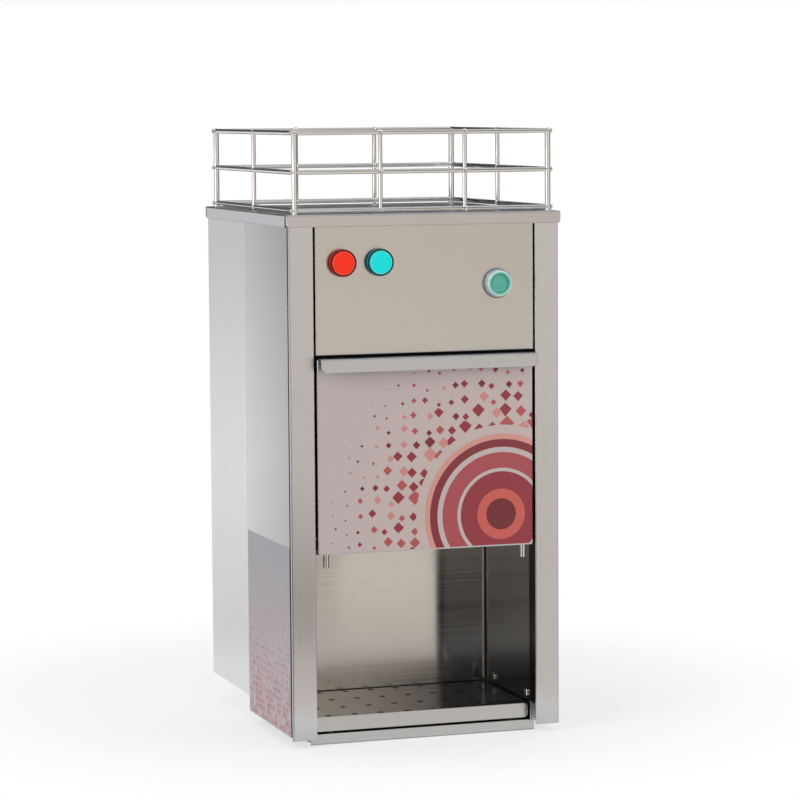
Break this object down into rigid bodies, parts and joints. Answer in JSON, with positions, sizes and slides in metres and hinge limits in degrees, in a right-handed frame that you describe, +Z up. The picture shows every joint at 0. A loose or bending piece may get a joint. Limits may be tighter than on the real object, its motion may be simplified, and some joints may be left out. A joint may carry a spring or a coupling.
{
  "type": "automatic pomegranate juicer",
  "caption": "Tall stainless cabinet juicer that presses halved fruit with a geared rack ram behind a tilting door, with a glass bay, drip tray and rod fruit basket on top.",
  "frame": {"origin": "centre of the bounding box on the floor", "axes": "+Z up, -Y towards the door, +X to the right seen from the front"},
  "size_m": [0.304, 0.357, 0.651],
  "materials": {
    "stainless_front": "brushed stainless sheet, warm",
    "stainless_side": "brushed stainless sheet",
    "stainless_rear": "brushed stainless sheet, light",
    "stainless_inner": "mill finish stainless",
    "press_tool_steel": "turned stainless",
    "polished_rod": "polished rod",
    "machined_steel": "machined steel",
    "guide_bronze": "bearing bronze",
    "cast_block": "cast iron",
    "motor_paint": "painted housing",
    "bright_fastener": "bright plated steel",
    "foot_rubber": "black rubber",
    "black_plastic": "black moulding",
    "grey_plastic": "grey moulding",
    "red_lens": "red moulded lens",
    "green_lens": "teal moulded lens",
    "button_green": "green push disc",
    "clear_silicone": "clear silicone"
  },
  "bodies": {
    "cabinet": {"left_post": "stainless_front", "right_post": "stainless_front", "control_panel": "stainless_front", "mid_rail": "stainless_front", "base_pan": "stainless_front", "left_side_panel": "stainless_side", "right_side_panel": "stainless_side", "rear_housing": "stainless_rear", "rear_floor": "stainless_rear", "top_cap": "stainless_rear", "left_inner_wall": "stainless_inner", "right_inner_wall": "stainless_inner", "bulkhead": "stainless_inner", "chamber_floor": "stainless_inner", "juice_funnel": "stainless_inner", "juice_spout": "stainless_inner", "press_bowl": "press_tool_steel", "basket_front": "polished_rod", "basket_back": "polished_rod", "basket_left": "polished_rod", "basket_right": "polished_rod", "press_plate": "machined_steel", "plate_brackets": "machined_steel", "idler_stub": "machined_steel", "gear_plate": "machined_steel", "bearing_bushes": "guide_bronze", "ram_guide": "guide_bronze", "bearing_blocks": "cast_block", "gearbox_case": "motor_paint", "motor_can": "motor_paint", "wall_screws": "bright_fastener", "rear_cover_screws": "bright_fastener", "door_hinge_pins": "bright_fastener", "door_magnets": "bright_fastener", "panel_nuts": "bright_fastener", "button_spring": "bright_fastener", "base_pads": "foot_rubber", "rear_feet": "foot_rubber", "lamp_bodies": "black_plastic", "button_contact_block": "black_plastic", "limit_switches": "black_plastic", "cable_gland": "black_plastic", "control_box": "grey_plastic", "button_bezel": "grey_plastic", "red_lamp_lens": "red_lens", "green_lamp_lens": "green_lens", "button_boot": "clear_silicone"},
    "door": {"front_door": "stainless_front", "door_pegs": "bright_fastener"},
    "start_button": {"button_cap": "button_green"},
    "ram": {"ram_rack": "machined_steel", "press_head": "press_tool_steel"},
    "pinion": {"pinion_shaft": "machined_steel", "rack_pinion": "machined_steel", "final_gear": "machined_steel"},
    "idler": {"idler_gear": "machined_steel"},
    "output": {"output_shaft": "machined_steel", "drive_gear": "machined_steel"},
    "tray": {"drip_pan": "stainless_front"},
    "grate": {"drip_plate": "stainless_inner"}
  },
  "joints": [
    {"name": "ram_slide", "type": "slide", "parent": "cabinet", "child": "ram", "axis": [0, 0, -1], "range_m": [0, 0.09]},
    {"name": "pinion_spin", "type": "hinge", "parent": "cabinet", "child": "pinion", "pos_m": [0, -0.0357, 0.443], "axis": [1, 0, 0], "range_deg": [0, 215]},
    {"name": "idler_spin", "type": "hinge", "parent": "cabinet", "child": "idler", "pos_m": [0.09, 0.0343, 0.443], "axis": [1, 0, 0], "range_deg": [-387, 0]},
    {"name": "output_spin", "type": "hinge", "parent": "cabinet", "child": "output", "pos_m": [0.09, 0.0793, 0.443], "axis": [1, 0, 0], "range_deg": [0, 484]},
    {"name": "door_tilt", "type": "hinge", "parent": "cabinet", "child": "door", "pos_m": [0, -0.154, 0.2155], "axis": [1, 0, 0], "range_deg": [0, 80]},
    {"name": "button_press", "type": "slide", "parent": "cabinet", "child": "start_button", "axis": [0, 1, 0], "range_m": [0, 0.004], "stiffness_N_per_m": 400, "deforming": ["button_spring"]},
    {"name": "tray_slide", "type": "slide", "parent": "cabinet", "child": "tray", "axis": [0, -1, 0], "range_m": [0, 0.12]},
    {"name": "grate_lift", "type": "slide", "parent": "tray", "child": "grate", "axis": [0, 0, 1], "range_m": [0, 0.06]}
  ],
  "couplings": [
    {"joint": "pinion_spin", "follows": "ram_slide", "rad_per_m": 41.667},
    {"joint": "idler_spin", "follows": "ram_slide", "rad_per_m": -75},
    {"joint": "output_spin", "follows": "ram_slide", "rad_per_m": 93.75}
  ]
}
